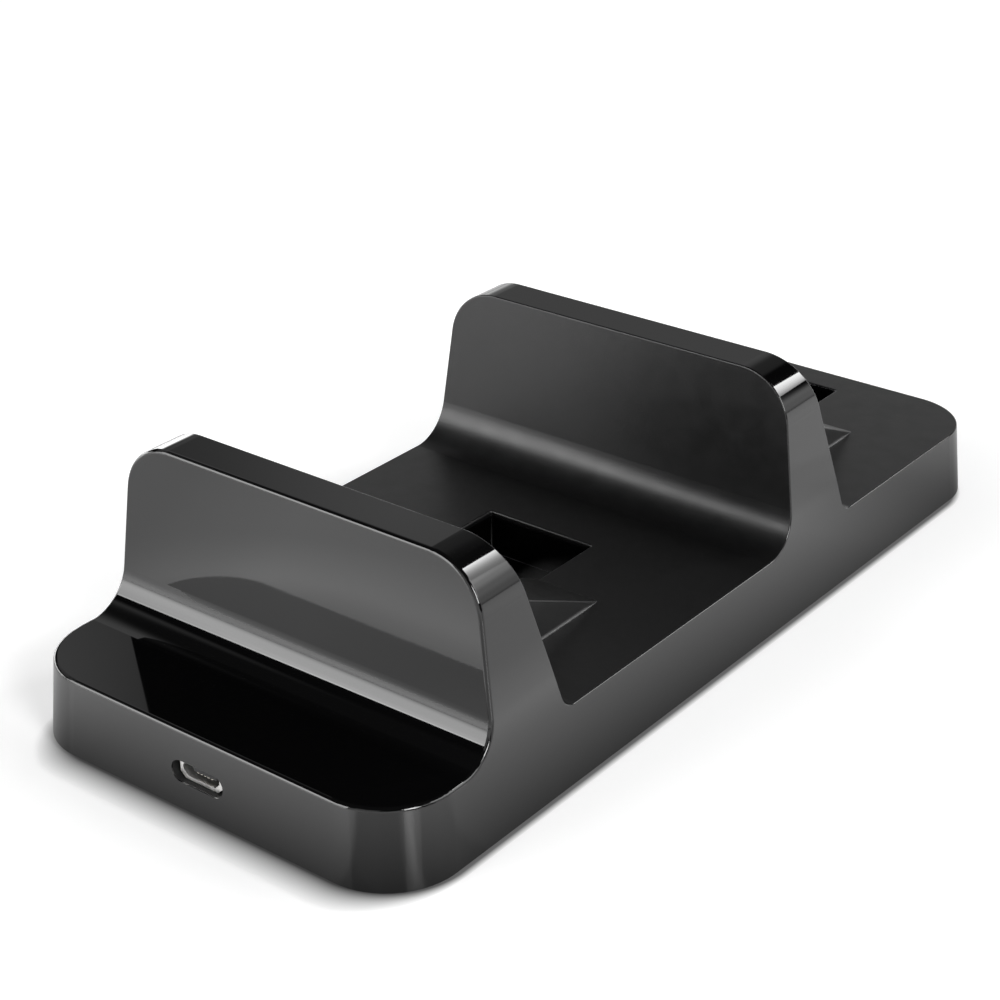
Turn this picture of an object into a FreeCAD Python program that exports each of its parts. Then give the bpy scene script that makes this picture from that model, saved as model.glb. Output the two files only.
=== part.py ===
import FreeCAD, Part
import math
import os
import re
import Sketcher
from FreeCAD import Vector

# Charging dock for two game controllers.
# Millimetres. +Z is up, +X is the right-hand side, -Y is the end with the power inlet.
# The origin lies under the middle of the dock, on the surface that it stands on.

SIZES = [
    ("body_width", 73.0, "base width at the bottom edge"),
    ("body_corner", 11.5, "radius of the four upright corners"),
    ("deck_height", 12.3, "decks above the bottom edge"),
    ("side_taper", 0.073, "inward lean of the base sides, mm per mm"),
    ("upright_top", 40.05, "top of the uprights above the bottom edge"),
    ("upright_setback", 22.0, "front end to the front upright's face at its top"),
    ("upright_depth", 7.06, "thickness of an upright at its top"),
    ("upright_taper", 0.132, "inward lean of an upright's ends, mm per mm"),
    ("upright_lean", 0.044, "backward lean of the front face, mm per mm"),
    ("upright_slope", 0.28, "slope of the back face, mm per mm"),
    ("upright_corner", 9.0, "radius of an upright's top corners"),
    ("bay_pitch", 75.3, "front upright to rear upright"),
    ("crease_height", 3.5, "deck to the line where the side begins to lean more"),
    ("crease_reach", 2.9, "reach of the curve that blends that line away"),
    ("front_foot_radius", 6.5, "hollow curve at the foot of a front face"),
    ("back_foot_radius", 3.0, "hollow curve at the foot of a back face"),
    ("edge_round", 0.6, "rounding of the front deck's and front face's edges"),
    ("bay_edge_round", 0.25, "rounding of the edges round the two bays"),
    ("wall", 2.2, "wall thickness of the housing"),
    ("ramp_width", 42.6, "width of the cradle ramp in a bay"),
    ("ramp_slope", 0.462, "rise of the ramp, mm per mm"),
    ("ramp_reach", 42.2, "upright's front face to the toe of the ramp"),
    ("ramp_round", 0.3, "rounding of the ramp's side edges"),
    ("ramp_foot", 0.6, "hollow curve at the foot of the ramp's sides"),
    ("ramp_foot_fade", 3.5, "toe of the ramp to where that curve starts to run out"),
    ("ramp_foot_end", 0.9, "toe of the ramp to the end of that curve"),
    ("ramp_foot_tip", 0.05, "radius of that curve at its end"),
    ("ramp_foot_bite", 0.3, "how far the curve's solid reaches into the ramp and the deck"),
    ("ramp_lead", 3.0, "how far the ramp starts below and ahead of its toe"),
    ("ramp_run", 36.0, "toe of the ramp to its end inside the upright"),
    ("recess_width", 20.0, "width of the plug recess"),
    ("recess_length", 32.0, "length of the plug recess"),
    ("recess_reach", 56.1, "upright's front face to the far edge of the recess"),
    ("rear_margin", 7.0, "far edge of the rear recess to the rear end"),
    ("recess_corner", 0.3, "radius of the recess's upright corners"),
    ("recess_edge", 0.35, "rounding of the recess's edge in the deck"),
    ("well_wall", 1.6, "side walls of the recess inside the housing"),
    ("well_floor", 1.1, "floor of the recess"),
    ("foot_height", 0.8, "how far the rubber feet stand out of the base"),
    ("foot_radius", 5.5, "radius of a rubber foot"),
    ("foot_seat", 0.7, "depth of a foot's seat in the cover"),
    ("foot_chamfer", 0.4, "bevel round the bottom of a foot"),
    ("foot_inset", 9.5, "side of the base to the middle of a foot"),
    ("foot_end", 11.5, "end of the base to the middle of a foot"),
    ("fit_gap", 0.15, "clearance of a part in its seat"),
    ("rim", 1.1, "housing rim left round the cover"),
    ("cover_recess", 0.2, "bottom edge of the housing to the cover's underside"),
    ("cover_thickness", 1.5, "thickness of the cover"),
    ("collar_height", 1.4, "raised collar round a cover screw"),
    ("collar_radius", 4.0, "radius of that collar"),
    ("boss_radius", 3.0, "screw boss of the cover"),
    ("end_boss_gap", 4.0, "edge of a foot to the middle of an end boss"),
    ("end_boss_inset", 9.6, "end of the base to an end boss"),
    ("mid_boss_inset", 7.1, "side of the base to a middle boss"),
    ("mid_boss_place", 8.0, "middle of the dock to the middle bosses, forwards"),
    ("screw_radius", 1.3, "shank of a cover screw"),
    ("screw_length", 6.5, "length of a cover screw under its head"),
    ("screw_head_radius", 2.3, "head of a cover screw"),
    ("screw_head_height", 1.4, "height of that head"),
    ("screw_relief", 0.8, "pilot hole beyond a screw's tip"),
    ("thread_gap", 0.03, "clearance of a screw in its pilot hole"),
    ("head_gap", 0.3, "clearance round a screw head or shank"),
    ("small_screw_radius", 1.0, "shank of a board screw"),
    ("small_screw_length", 4.5, "length of a board screw under its head"),
    ("small_head_radius", 1.8, "head of a board screw"),
    ("small_head_height", 0.6, "height of that head"),
    ("board_boss_radius", 2.2, "screw boss of a board"),
    ("inlet_height", 5.85, "bottom edge to the middle of the inlet slot"),
    ("slot_width", 9.8, "width of the inlet slot"),
    ("slot_height", 3.3, "height of the inlet slot"),
    ("inlet_recess", 1.3, "front end to the face of the inlet socket"),
    ("inlet_width", 7.5, "width of the inlet socket"),
    ("inlet_depth", 5.2, "front to back of the inlet socket"),
    ("socket_height", 2.5, "height of the inlet socket"),
    ("socket_bevel", 0.9, "bevel of the socket's lower corners"),
    ("socket_corner", 0.35, "bevel of the socket's upper corners"),
    ("socket_skin", 0.3, "sheet thickness of the socket"),
    ("socket_lip", 0.25, "flared lip round the socket's mouth"),
    ("lip_length", 0.5, "length of that lip"),
    ("tongue_length", 3.0, "contact tongue in the socket"),
    ("tongue_width", 4.4, "width of that tongue"),
    ("tongue_height", 0.6, "thickness of that tongue"),
    ("block_length", 1.5, "insulating block behind the tongue"),
    ("contact_pitch", 0.65, "spacing of the contacts"),
    ("contact_width", 0.35, "width of a contact"),
    ("contact_thick", 0.15, "thickness of a contact"),
    ("inlet_board_gap", 0.5, "screw boss to the side of the inlet board"),
    ("inlet_board_length", 19.0, "length of the inlet board"),
    ("inlet_board_place", 3.3, "front end to the inlet board"),
    ("inlet_board_thick", 1.2, "thickness of the inlet board"),
    ("inlet_screw_margin", 3.7, "side of the inlet board to a screw"),
    ("inlet_screw_inset", 17.7, "front end to a screw of the inlet board"),
    ("inlet_post_inset", 5.9, "front end to a rest post of the inlet board"),
    ("plug_board_margin", 3.0, "screw of a plug board to the board's side"),
    ("plug_board_length", 14.0, "length of a plug board"),
    ("plug_board_thick", 1.0, "thickness of a plug board"),
    ("plug_screw_clear", 3.4, "side wall of the recess to a screw of its plug board"),
    ("plug_reach", 31.2, "upright's front face to the plug"),
    ("board_gap", 0.85, "cover to a plug board"),
    ("well_gap", 0.1, "plug board to the recess floor"),
    ("plug_top", 15.4, "tip of a plug above the bottom edge"),
    ("plug_width", 6.85, "width of a plug's metal tip"),
    ("plug_depth", 1.8, "depth of that tip"),
    ("plug_bevel", 0.55, "bevel of the tip's corners"),
    ("plug_skin", 0.25, "sheet thickness of the tip"),
    ("plug_sink", 4.4, "length of the tip inside the plug's body"),
    ("plug_inset", 0.3, "tip of the plug to its insulator"),
    ("plug_mouth", 4.4, "depth of the mouth in the insulator"),
    ("plug_mouth_width", 5.6, "width of that mouth"),
    ("plug_mouth_depth", 0.75, "height of that mouth"),
    ("plug_body_width", 10.6, "width of a plug's body"),
    ("plug_body_depth", 6.6, "depth of a plug's body"),
    ("plug_body_top", 9.0, "top of a plug's body above the bottom edge"),
    ("plug_body_round", 1.2, "rounding of the body's upright edges"),
    ("plug_seat_gap", 0.2, "clearance of the body in the recess floor"),
    ("rib_thick", 1.4, "stiffening ribs inside the uprights"),
    ("rib_side", 11.0, "middle line to a stiffening rib"),
    ("lead_radius", 0.55, "radius of an insulated lead"),
    ("lead_rise", 2.2, "height of a lead's bend over a board"),
    ("lead_lift", 0.05, "cover to a lead that runs along it"),
    ("pad_place", 21.2, "front end to the leads' pads"),
    ("pad_side", 5.2, "middle line to the inner pad of a pair"),
    ("pad_pitch", 2.0, "spacing of the pads in a pair"),
    ("landing_inset", 5.1, "middle of a plug to the leads' landings"),
    ("landing_side", 2.3, "side wall of the recess to the inner landing"),
    ("landing_pitch", 2.3, "spacing of the two landings"),
    ("run_side", 1.6, "side of a plug board to the inner long lead"),
    ("run_pitch", 1.8, "spacing of the two long leads"),
    ("run_start", 17.0, "pads to the start of the long run"),
    ("run_end", 15.0, "end of the long run to the landings"),
    ("chip_place", 14.8, "front end to the charge controller"),
    ("chip_width", 4.9, "width of the charge controller"),
    ("chip_length", 3.9, "length of its body"),
    ("chip_height", 1.4, "height of its body"),
    ("chip_lift", 0.15, "board to the underside of its body"),
    ("chip_bevel", 0.25, "bevel round its top"),
    ("leg_pitch", 1.27, "spacing of its legs"),
    ("leg_width", 0.42, "width of a leg"),
    ("leg_thick", 0.2, "thickness of a leg"),
    ("leg_reach", 1.05, "reach of a leg"),
    ("capacitor_margin", 5.6, "side of the inlet board to the input capacitor"),
    ("capacitor_place", 11.6, "front end to the input capacitor"),
    ("capacitor_base", 4.3, "side of its square base"),
    ("capacitor_base_height", 0.7, "height of that base"),
    ("capacitor_radius", 2.0, "radius of its can"),
    ("capacitor_height", 4.4, "height of its can"),
    ("fuse_margin", 5.4, "side of the inlet board to the resettable fuse"),
    ("fuse_place", 11.6, "front end to the resettable fuse"),
    ("fuse_length", 3.4, "length of the fuse between its end caps"),
    ("fuse_width", 3.1, "width of the fuse"),
    ("fuse_height", 0.8, "height of the fuse"),
    ("fuse_cap", 0.6, "length of an end cap"),
    ("fuse_step", 0.1, "how much thicker an end cap is"),
    ("resistor_place", 9.2, "front end to the row of resistors"),
    ("resistor_pitch", 2.8, "spacing of the resistors"),
    ("resistor_length", 2.0, "length of a resistor"),
    ("resistor_width", 1.25, "width of a resistor"),
    ("resistor_height", 0.5, "height of a resistor"),
]

doc = FreeCAD.newDocument("ChargingDock")
sheet = doc.addObject("Spreadsheet::Sheet", "Sheet")
for row, (alias, number, meaning) in enumerate(SIZES, 1):
    sheet.set(f"A{row}", alias)
    sheet.set(f"B{row}", str(number))
    sheet.set(f"C{row}", meaning)
    sheet.setAlias(f"B{row}", alias)
doc.recompute()

ALIASES = {alias for alias, number, meaning in SIZES}


def bind(text):
    """Turn a formula in the names above into an expression on the sheet."""
    return re.sub(r"[a-z_]+", lambda word: f"Sheet.{word[0]}" if word[0] in ALIASES else word[0], text)


def value(text):
    """The number that a formula in the names above comes to."""
    return float(sheet.evalExpression(bind(text)))


# Heights above the floor, from the bottom up.
COVER_BOTTOM = "(foot_height + cover_recess)"
COVER_TOP = "(foot_height + cover_recess + cover_thickness)"
BOSS_END = f"({COVER_TOP} + collar_height)"
PLUG_BOARD_BOTTOM = f"({COVER_TOP} + board_gap)"
PLUG_BOARD_TOP = f"({PLUG_BOARD_BOTTOM} + plug_board_thick)"
WELL_BOTTOM = f"({PLUG_BOARD_TOP} + well_gap)"
RECESS_FLOOR = f"({WELL_BOTTOM} + well_floor)"
INLET_MIDDLE = "(foot_height + inlet_height)"
INLET_BOARD_TOP = f"({INLET_MIDDLE} - socket_height / 2)"
INLET_BOARD_BOTTOM = f"({INLET_BOARD_TOP} - inlet_board_thick)"
PLUG_TIP = "(foot_height + plug_top)"

# Places along the dock.
LENGTH = "(upright_setback + bay_pitch + recess_reach + rear_margin)"
FRONT_END = f"(-{LENGTH} / 2)"
REAR_END = f"({LENGTH} / 2)"
FRONT_UPRIGHT = f"({FRONT_END} + upright_setback)"
INLET_FACE = f"({FRONT_END} + inlet_recess)"
BAYS = [("front", FRONT_UPRIGHT), ("rear", f"({FRONT_UPRIGHT} + bay_pitch)")]

# Distances from the middle line.
FOOT_SIDE = "(body_width / 2 - foot_inset)"
END_BOSS_SIDE = f"({FOOT_SIDE} - foot_radius - end_boss_gap)"
MID_BOSS_SIDE = "(body_width / 2 - mid_boss_inset)"
INLET_BOARD_SIDE = f"({END_BOSS_SIDE} - boss_radius - inlet_board_gap)"
INLET_SCREW_SIDE = f"({INLET_BOARD_SIDE} - inlet_screw_margin)"
WELL_SIDE = "(recess_width / 2 + well_wall)"
PLUG_SCREW_SIDE = f"({WELL_SIDE} + plug_screw_clear)"
PLUG_BOARD_SIDE = f"({PLUG_SCREW_SIDE} + plug_board_margin)"

# Lengths and heights past every face of the dock, for cuts that go right through.
WIDE = "(body_width * 1.5)"
LONG = f"({LENGTH} * 1.5)"
ABOVE = "(upright_top + wall)"


# Sketching

BEND = "bend"


def origin_plane(body, role):
    return next(item for item in body.Origin.OriginFeatures if item.Role == role)


def new_body(label, lift="foot_height"):
    body = doc.addObject("PartDesign::Body", label)
    body.Label = label
    body.setExpression("Placement.Base.z", bind(lift))
    return body


def new_sketch(body, name, role, offset=None):
    """A sketch on one of the body's own planes, moved along the plane's normal."""
    sketch = body.newObject("Sketcher::SketchObject", name)
    sketch.AttachmentSupport = [(origin_plane(body, role), "")]
    sketch.MapMode = "FlatFace"
    if offset:
        sketch.setExpression("AttachmentOffset.Base.z", bind(offset))
    doc.recompute()
    return sketch


def pin_point(sketch, geometry, end, x, y):
    """Fix one end of a line or arc, or its middle, at two formulas."""
    for kind, text in (("DistanceX", x), ("DistanceY", y)):
        constraint = Sketcher.Constraint(kind, -1, 1, geometry, end, value(text))
        index = sketch.addConstraint(constraint)
        sketch.setExpression(f"Constraints[{index}]", bind(text))


def bend_between(start, end, heading):
    """An arc from start to end that sets off in the given heading."""
    chord = end - start
    aside = heading - chord * (heading.dot(chord) / chord.dot(chord))
    depth = chord.Length / 2 * math.tan(heading.getAngle(chord) / 2)
    middle = (start + end) / 2 + aside.normalize() * depth
    return Part.Arc(start, middle, end)


def outline(sketch, corners):
    """A closed outline through corners given as formulas. A corner marked BEND starts an arc."""
    points = [Vector(value(corner[0]), value(corner[1]), 0) for corner in corners]
    pieces, ends = [], []
    for number, start in enumerate(points):
        end = points[(number + 1) % len(points)]
        curve = Part.LineSegment(start, end)
        if corners[number][-1] is BEND:
            curve = bend_between(start, end, (start - points[number - 1]).normalize())
        pieces.append(sketch.addGeometry(curve, False))
        forward = sketch.getPoint(pieces[-1], 1).distanceToPoint(start) < 1e-6
        ends.append((1, 2) if forward else (2, 1))
    for number, corner in enumerate(corners):
        before = number - 1
        if corner[-1] is BEND:
            kind = "Tangent"
        else:
            kind = "Coincident"
        joint = Sketcher.Constraint(kind, pieces[before], ends[before][1], pieces[number], ends[number][0])
        sketch.addConstraint(joint)
        pin_point(sketch, pieces[number], ends[number][0], corner[0], corner[1])


def circle(sketch, x, y, radius):
    centre = Vector(value(x), value(y), 0)
    ring = sketch.addGeometry(Part.Circle(centre, Vector(0, 0, 1), value(radius)), False)
    pin_point(sketch, ring, 3, x, y)
    index = sketch.addConstraint(Sketcher.Constraint("Radius", ring, value(radius)))
    sketch.setExpression(f"Constraints[{index}]", bind(radius))


def rounded_rectangle(sketch, x, y, width, height, radius):
    """A rectangle with round corners about a middle, all given as formulas."""
    far_x, far_y = f"({width}) / 2", f"({height}) / 2"
    near_x, near_y = f"(({width}) / 2 - ({radius}))", f"(({height}) / 2 - ({radius}))"
    corners = [
        (f"{x} - {near_x}", f"{y} - {far_y}"),
        (f"{x} + {near_x}", f"{y} - {far_y}", BEND),
        (f"{x} + {far_x}", f"{y} - {near_y}"),
        (f"{x} + {far_x}", f"{y} + {near_y}", BEND),
        (f"{x} + {near_x}", f"{y} + {far_y}"),
        (f"{x} - {near_x}", f"{y} + {far_y}", BEND),
        (f"{x} - {far_x}", f"{y} + {near_y}"),
        (f"{x} - {far_x}", f"{y} - {near_y}", BEND),
    ]
    outline(sketch, corners)


def stadium(sketch, y, width, height):
    """A slot with round ends on the middle line."""
    straight, half = f"({width} - {height}) / 2", f"{height} / 2"
    corners = [
        (f"-{straight}", f"{y} - {half}"),
        (straight, f"{y} - {half}", BEND),
        (straight, f"{y} + {half}"),
        (f"-{straight}", f"{y} + {half}", BEND),
    ]
    outline(sketch, corners)


# Features


def raised(body, name, sketch, length, both_ways=False, back=False):
    pad = body.newObject("PartDesign::Pad", name)
    pad.Profile = sketch
    pad.setExpression("Length", bind(length))
    pad.SideType = "Symmetric" if both_ways else "One side"
    pad.Reversed = back
    doc.recompute()
    return pad


def cut(body, name, sketch, length, both_ways=False, back=False):
    pocket = body.newObject("PartDesign::Pocket", name)
    pocket.Profile = sketch
    pocket.setExpression("Length", bind(length))
    pocket.SideType = "Symmetric" if both_ways else "One side"
    pocket.Reversed = back
    doc.recompute()
    return pocket


def round_edges(body, name, base, picked, radius):
    """Round those edges of the base feature that the test picks."""
    edges = [f"Edge{n}" for n, edge in enumerate(base.Shape.Edges, 1) if picked(edge)]
    if not edges:
        raise RuntimeError(f"{name} finds no edge")
    fillet = body.newObject("PartDesign::Fillet", name)
    fillet.Base = (base, edges)
    fillet.setExpression("Radius", bind(radius))
    doc.recompute()
    return fillet


def near(number, text):
    return abs(number - value(text)) < 0.02


def runs_along(edge, axis):
    start, end = edge.Vertexes[0].Point, edge.Vertexes[-1].Point
    step = end - start
    return step.Length > 0.5 and abs(step.normalize()[axis]) > 0.98


def is_sharp(shape, edge, degrees=15):
    """True where the two faces beside an edge meet at an angle."""
    faces = shape.ancestorsOfType(edge, Part.Face)
    if len(faces) < 2:
        return False
    point = edge.valueAt((edge.FirstParameter + edge.LastParameter) / 2)
    normals = []
    for face in faces:
        u, v = face.Surface.parameter(point)
        normals.append(face.normalAt(u, v))
    return math.degrees(normals[0].getAngle(normals[1])) > degrees


# Solids


def block(name, width, depth, height, x, y, bottom):
    """A box about a middle line, standing on a level."""
    solid = doc.addObject("Part::Box", name)
    solid.setExpression("Length", bind(width))
    solid.setExpression("Width", bind(depth))
    solid.setExpression("Height", bind(height))
    solid.setExpression("Placement.Base.x", bind(f"{x} - ({width}) / 2"))
    solid.setExpression("Placement.Base.y", bind(f"{y} - ({depth}) / 2"))
    solid.setExpression("Placement.Base.z", bind(bottom))
    return solid


def post(name, radius, height, x, y, bottom):
    solid = doc.addObject("Part::Cylinder", name)
    solid.setExpression("Radius", bind(radius))
    solid.setExpression("Height", bind(height))
    solid.setExpression("Placement.Base.x", bind(x))
    solid.setExpression("Placement.Base.y", bind(y))
    solid.setExpression("Placement.Base.z", bind(bottom))
    return solid


def joined(name, solids):
    whole = doc.addObject("Part::MultiFuse", name)
    whole.Shapes = solids
    return whole


def without(name, base, tools):
    """The base with the tools taken out of it."""
    tool = tools[0] if len(tools) == 1 else joined(f"{name}_tools", tools)
    result = doc.addObject("Part::Cut", name)
    result.Base = base
    result.Tool = tool
    result.Label = name
    return result


def group(name, shapes):
    """Like pieces that share one node as separate solids."""
    node = doc.addObject("Part::Feature", name)
    node.Shape = Part.makeCompound(shapes)
    node.Label = name
    return node


# Housing


def side_view(body, name, inset, bottom):
    """The dock seen from its right side: base, two uprights and three decks."""
    deck = f"(deck_height - {inset})"
    crown = f"(upright_top - {inset})"
    corners = [(f"{FRONT_END} + {inset} + side_taper * {bottom}", bottom)]
    corners.append((f"{FRONT_END} + {inset} + side_taper * {deck}", deck))
    for bay, face in BAYS:
        front = f"{face} + {inset} - upright_lean"
        back = f"{face} + upright_depth - {inset} + upright_slope"
        corners.append((f"{front} * (upright_top - {deck})", deck))
        corners.append((f"{front} * (upright_top - {crown})", crown))
        corners.append((f"{back} * (upright_top - {crown})", crown))
        corners.append((f"{back} * (upright_top - {deck})", deck))
    corners.append((f"{REAR_END} - {inset} - side_taper * {deck}", deck))
    corners.append((f"{REAR_END} - {inset} - side_taper * {bottom}", bottom))
    sketch = new_sketch(body, name, "YZ_Plane")
    outline(sketch, corners)
    return sketch


CREASE = "(deck_height + crease_height)"
CREASE_SIDE = f"(body_width / 2 - side_taper * {CREASE})"


def front_view_waste(body, name, inset, bottom):
    """What lies outside the leaning sides, seen from the front."""
    sketch = new_sketch(body, name, "XZ_Plane")
    low, high = f"({CREASE} - crease_reach)", f"({CREASE} + crease_reach)"
    for side in ("", "-"):
        corners = [
            (f"{side}(body_width / 2 - {inset} - side_taper * {bottom})", bottom),
            (f"{side}({CREASE_SIDE} - {inset} + side_taper * crease_reach)", low, BEND),
            (f"{side}({CREASE_SIDE} - {inset} - upright_taper * crease_reach)", high),
            (f"{side}({CREASE_SIDE} - {inset} - upright_taper * ({ABOVE} - {CREASE}))", ABOVE),
            (f"{side}body_width", ABOVE),
            (f"{side}body_width", bottom),
        ]
        outline(sketch, corners)
    return sketch


def dock_form(label, inset, bottom):
    """The outer form of the dock, or its hollow when given an inset."""
    body = new_body(label)
    profile = side_view(body, f"{label}_side_view", inset, bottom)
    solid = raised(body, f"{label}_block", profile, WIDE, both_ways=True)
    waste = front_view_waste(body, f"{label}_front_view", inset, bottom)
    solid = cut(body, f"{label}_sides", waste, LONG, both_ways=True)

    def corner(edge):
        middle = edge.CenterOfMass
        at_end = abs(middle.y) > value(f"{REAR_END} - {inset} - wall")
        return at_end and runs_along(edge, 2) and middle.z < value("deck_height")

    solid = round_edges(body, f"{label}_corners", solid, corner, f"body_corner - {inset}")

    def crown(edge):
        return near(edge.CenterOfMass.z, f"upright_top - {inset}") and runs_along(edge, 1)

    solid = round_edges(body, f"{label}_crowns", solid, crown, f"upright_corner - {inset}")

    deck = f"(deck_height - {inset})"
    fronts = [value(f"{face} + {inset} - upright_lean * (upright_top - {deck})") for bay, face in BAYS]

    def foot(edge):
        return near(edge.CenterOfMass.z, deck) and runs_along(edge, 0) and abs(edge.CenterOfMass.x) < 1

    def front_foot(edge):
        return foot(edge) and any(abs(edge.CenterOfMass.y - place) < 0.05 for place in fronts)

    def back_foot(edge):
        inside = abs(edge.CenterOfMass.y) < value(f"{REAR_END} - {inset} - 2 * wall")
        return foot(edge) and inside and not front_foot(edge)

    solid = round_edges(body, f"{label}_front_feet", solid, front_foot, f"front_foot_radius + {inset}")
    solid = round_edges(body, f"{label}_back_feet", solid, back_foot, f"back_foot_radius + {inset}")
    return body, solid


def cradle_ramp(body, name, face, inset):
    """A ramp that rises from the deck to the back of an upright."""
    toe = f"({face} + ramp_reach)"
    drop = f"({inset} * sqrt(1 + ramp_slope^2))"
    low = f"(deck_height - ramp_slope * ramp_lead - {drop})"
    high = f"(deck_height + ramp_slope * ramp_run - {drop})"
    foot = f"(deck_height - {inset} - ramp_slope * ramp_lead - 2 * ramp_round)"
    sections = []
    for part, place, top in (("toe", f"{toe} + ramp_lead", low), ("end", f"{toe} - ramp_run", high)):
        sketch = new_sketch(body, f"{name}_{part}", "XZ_Plane", f"-({place})")
        ramp_section(sketch, f"ramp_width / 2 - {inset}", foot, top)
        sections.append(sketch)
    loft = body.newObject("PartDesign::AdditiveLoft", name)
    loft.Profile = sections[0]
    loft.Sections = [sections[1]]
    loft.Ruled = True
    doc.recompute()
    return loft


def ramp_section(sketch, half, bottom, top):
    """Upright sides and a flat top with rounded corners."""
    corners = [
        (f"-({half})", bottom),
        (half, bottom),
        (half, f"{top} - ramp_round", BEND),
        (f"{half} - ramp_round", top),
        (f"ramp_round - ({half})", top, BEND),
        (f"-({half})", f"{top} - ramp_round"),
    ]
    outline(sketch, corners)


def ramp_feet(body, bay, face):
    """Hollow curves where the sides of a ramp stand on its deck. They run out at the toe."""
    toe = f"({face} + ramp_reach)"
    for side, sign in (("left", "-"), ("right", "")):
        places = [
            (f"({face} + upright_depth)", "ramp_foot"),
            (f"({toe} - ramp_foot_fade)", "ramp_foot"),
            (f"({toe} - ramp_foot_end)", "ramp_foot_tip"),
        ]
        sections = []
        for number, (place, radius) in enumerate(places, 1):
            sketch = new_sketch(body, f"{bay}_{side}_foot_{number}", "XZ_Plane", f"-{place}")
            inner = "(ramp_width / 2 - ramp_foot_bite)"
            outer = f"(ramp_width / 2 + {radius} + ramp_foot_tip)"
            corners = [
                (f"{sign}{inner}", "deck_height - ramp_foot_bite"),
                (f"{sign}{outer}", "deck_height - ramp_foot_bite"),
                (f"{sign}{outer}", "deck_height"),
                (f"{sign}(ramp_width / 2 + {radius})", "deck_height", BEND),
                (f"{sign}(ramp_width / 2)", f"deck_height + {radius}"),
                (f"{sign}{inner}", f"deck_height + {radius}"),
            ]
            outline(sketch, corners)
            sections.append(sketch)
        loft = body.newObject("PartDesign::AdditiveLoft", f"{bay}_{side}_ramp_foot")
        loft.Profile = sections[0]
        loft.Sections = sections[1:]
        loft.Ruled = True
        doc.recompute()


def outer_form():
    body, solid = dock_form("outer_form", "0", "0")
    upright_middle = value(f"{FRONT_UPRIGHT} + upright_depth / 2")

    def outer_edge(edge):
        return edge.BoundBox.ZMax > 0.1 and is_sharp(solid.Shape, edge)

    def front_edge(edge):
        return edge.CenterOfMass.y < upright_middle and outer_edge(edge)

    def bay_edge(edge):
        return edge.CenterOfMass.y > upright_middle and outer_edge(edge)

    solid = round_edges(body, "front_edge_rounds", solid, front_edge, "edge_round")
    solid = round_edges(body, "bay_edge_rounds", solid, bay_edge, "bay_edge_round")
    for bay, face in BAYS:
        cradle_ramp(body, f"{bay}_ramp", face, "0")
        ramp_feet(body, bay, face)
        recess = new_sketch(body, f"{bay}_recess_plan", "XY_Plane", "upright_top")
        middle = f"({face} + recess_reach - recess_length / 2)"
        rounded_rectangle(recess, "0", middle, "recess_width", "recess_length", "recess_corner")
        solid = cut(body, f"{bay}_recess", recess, f"upright_top + foot_height - {RECESS_FLOOR}")
        far_edge = value(f"{face} + recess_reach")

        def rim(edge):
            at_far_edge = abs(edge.CenterOfMass.y - far_edge) < value("recess_corner")
            return at_far_edge and near(edge.CenterOfMass.z, "deck_height")

        round_edges(body, f"{bay}_recess_rim", solid, rim, "recess_edge")
        seat = new_sketch(body, f"{bay}_plug_seat_plan", "XY_Plane", "upright_top")
        width = "plug_body_width + 2 * plug_seat_gap"
        depth = "plug_body_depth + 2 * plug_seat_gap"
        radius = "plug_body_round + plug_seat_gap"
        rounded_rectangle(seat, "0", f"({face} + plug_reach)", width, depth, radius)
        cut(body, f"{bay}_plug_seat", seat, "upright_top")
    slot = new_sketch(body, "inlet_slot_view", "XZ_Plane", REAR_END)
    stadium(slot, "inlet_height", "slot_width", "slot_height")
    cut(body, "inlet_slot", slot, "2 * wall + side_taper * deck_height")
    seat = new_sketch(body, "cover_seat_plan", "XY_Plane")
    width = "body_width - 2 * rim"
    rounded_rectangle(seat, "0", "0", width, f"{LENGTH} - 2 * rim", "body_corner - rim")
    cut(body, "cover_seat", seat, "cover_recess + cover_thickness", back=True)
    return body


def hollow():
    body, solid = dock_form("hollow_form", "wall", "(-wall)")
    for bay, face in BAYS:
        cradle_ramp(body, f"{bay}_hollow_ramp", face, "wall")
    return body


COVER_SCREWS = [
    (f"-{END_BOSS_SIDE}", f"{FRONT_END} + end_boss_inset"),
    (END_BOSS_SIDE, f"{FRONT_END} + end_boss_inset"),
    (f"-{MID_BOSS_SIDE}", "-mid_boss_place"),
    (MID_BOSS_SIDE, "-mid_boss_place"),
    (f"-{END_BOSS_SIDE}", f"{REAR_END} - end_boss_inset"),
    (END_BOSS_SIDE, f"{REAR_END} - end_boss_inset"),
]
INLET_SCREWS = [(f"{sign}{INLET_SCREW_SIDE}", f"{FRONT_END} + inlet_screw_inset") for sign in ("-", "")]
INLET_POSTS = [(f"{sign}{INLET_SCREW_SIDE}", f"{FRONT_END} + inlet_post_inset") for sign in ("-", "")]


def plug_screws(face):
    return [(side, f"{face} + plug_reach") for side in (f"-{PLUG_SCREW_SIDE}", PLUG_SCREW_SIDE)]


PLUG_SCREWS = [place for bay, face in BAYS for place in plug_screws(face)]


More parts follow.
